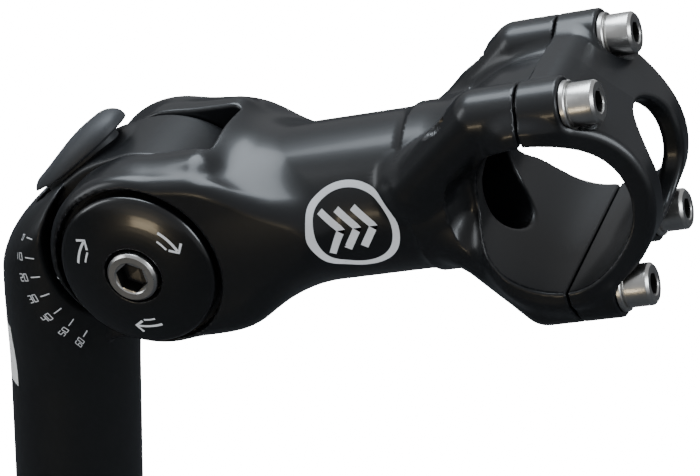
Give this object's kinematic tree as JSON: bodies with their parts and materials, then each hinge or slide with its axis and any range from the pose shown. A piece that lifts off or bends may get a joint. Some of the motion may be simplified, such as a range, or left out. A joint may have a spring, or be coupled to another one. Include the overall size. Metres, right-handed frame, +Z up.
{
  "type": "handlebar stem",
  "caption": "Adjustable-angle quill stem: a round column with an expander wedge, a tilting arm on a toothed joint, and a bolted open-faced clamp for a handlebar.",
  "frame": {"origin": "on the column's axis, at the step where the column narrows to the quill", "axes": "+X forward towards the handlebar, +Y to the rider's left, +Z up along the column"},
  "size_m": [0.1448, 0.0483, 0.2546],
  "materials": {
    "black_paint": "forged alloy, satin black paint",
    "gloss_paint": "forged alloy, gloss black paint",
    "bare_alloy": "machined",
    "bolt_steel": "plain steel",
    "ring_steel": "sintered steel",
    "bronze": "plain bronze",
    "soft_plastic": "matt dark grey"
  },
  "bodies": {
    "quill": {"quill_column": "black_paint", "tilt_bush": "bronze", "tongue_ring_right": "ring_steel", "tongue_ring_left": "ring_steel", "expander_washer": "bolt_steel"},
    "expander_screw": {"expander_bolt": "bolt_steel"},
    "wedge": {"expander_wedge": "bare_alloy"},
    "cap": {"expander_cap": "soft_plastic"},
    "arm": {"arm": "gloss_paint", "ear_ring_right": "ring_steel", "ear_ring_left": "ring_steel", "dome_washer_right": "gloss_paint", "dome_washer_left": "gloss_paint", "tilt_nut": "bolt_steel"},
    "tilt_screw": {"tilt_bolt": "bolt_steel"},
    "faceplate": {"faceplate": "gloss_paint", "faceplate_washer_upper_right": "bolt_steel", "faceplate_washer_upper_left": "bolt_steel", "faceplate_washer_lower_right": "bolt_steel", "faceplate_washer_lower_left": "bolt_steel"},
    "screw_upper_right": {"faceplate_bolt_upper_right": "bolt_steel"},
    "screw_upper_left": {"faceplate_bolt_upper_left": "bolt_steel"},
    "screw_lower_right": {"faceplate_bolt_lower_right": "bolt_steel"},
    "screw_lower_left": {"faceplate_bolt_lower_left": "bolt_steel"}
  },
  "joints": [
    {"name": "arm_tilt", "type": "hinge", "parent": "quill", "child": "arm", "pos_m": [0.0235, 0, 0.078], "axis": [0, -1, 0], "range_deg": [-20, 40]},
    {"name": "tilt_bolt_turn", "type": "hinge", "parent": "arm", "child": "tilt_screw", "pos_m": [0.0235, 0, 0.078], "axis": [0, -1, 0], "range_deg": [0, 720]},
    {"name": "expander_turn", "type": "hinge", "parent": "quill", "child": "expander_screw", "pos_m": [0, 0, 0.065], "axis": [0, 0, 1], "range_deg": [0, 1152.01]},
    {"name": "wedge_travel", "type": "slide", "parent": "quill", "child": "wedge", "axis": [0, 0, -1], "range_m": [0, 0.004]},
    {"name": "cap_lift", "type": "slide", "parent": "quill", "child": "cap", "axis": [0, 0, 1], "range_m": [0, 0.02]},
    {"name": "faceplate_off", "type": "slide", "parent": "arm", "child": "faceplate", "axis": [0.9397, 0, 0.342], "range_m": [0, 0.01]},
    {"name": "bolt_turn_upper_right", "type": "hinge", "parent": "faceplate", "child": "screw_upper_right", "pos_m": [0.10922, -0.015, 0.13048], "axis": [0.9397, 0, 0.342], "range_deg": [0, 4500.01]},
    {"name": "bolt_turn_upper_left", "type": "hinge", "parent": "faceplate", "child": "screw_upper_left", "pos_m": [0.10922, 0.015, 0.13048], "axis": [0.9397, 0, 0.342], "range_deg": [0, 4500.01]},
    {"name": "bolt_turn_lower_right", "type": "hinge", "parent": "faceplate", "child": "screw_lower_right", "pos_m": [0.1229, -0.015, 0.0929], "axis": [0.9397, 0, 0.342], "range_deg": [0, 4500.01]},
    {"name": "bolt_turn_lower_left", "type": "hinge", "parent": "faceplate", "child": "screw_lower_left", "pos_m": [0.1229, 0.015, 0.0929], "axis": [0.9397, 0, 0.342], "range_deg": [0, 4500.01]}
  ],
  "couplings": [
    {"joint": "expander_turn", "follows": "wedge_travel", "rad_per_m": 5026.5},
    {"joint": "bolt_turn_upper_right", "follows": "faceplate_off", "rad_per_m": 7854},
    {"joint": "bolt_turn_upper_left", "follows": "faceplate_off", "rad_per_m": 7854},
    {"joint": "bolt_turn_lower_right", "follows": "faceplate_off", "rad_per_m": 7854},
    {"joint": "bolt_turn_lower_left", "follows": "faceplate_off", "rad_per_m": 7854}
  ]
}
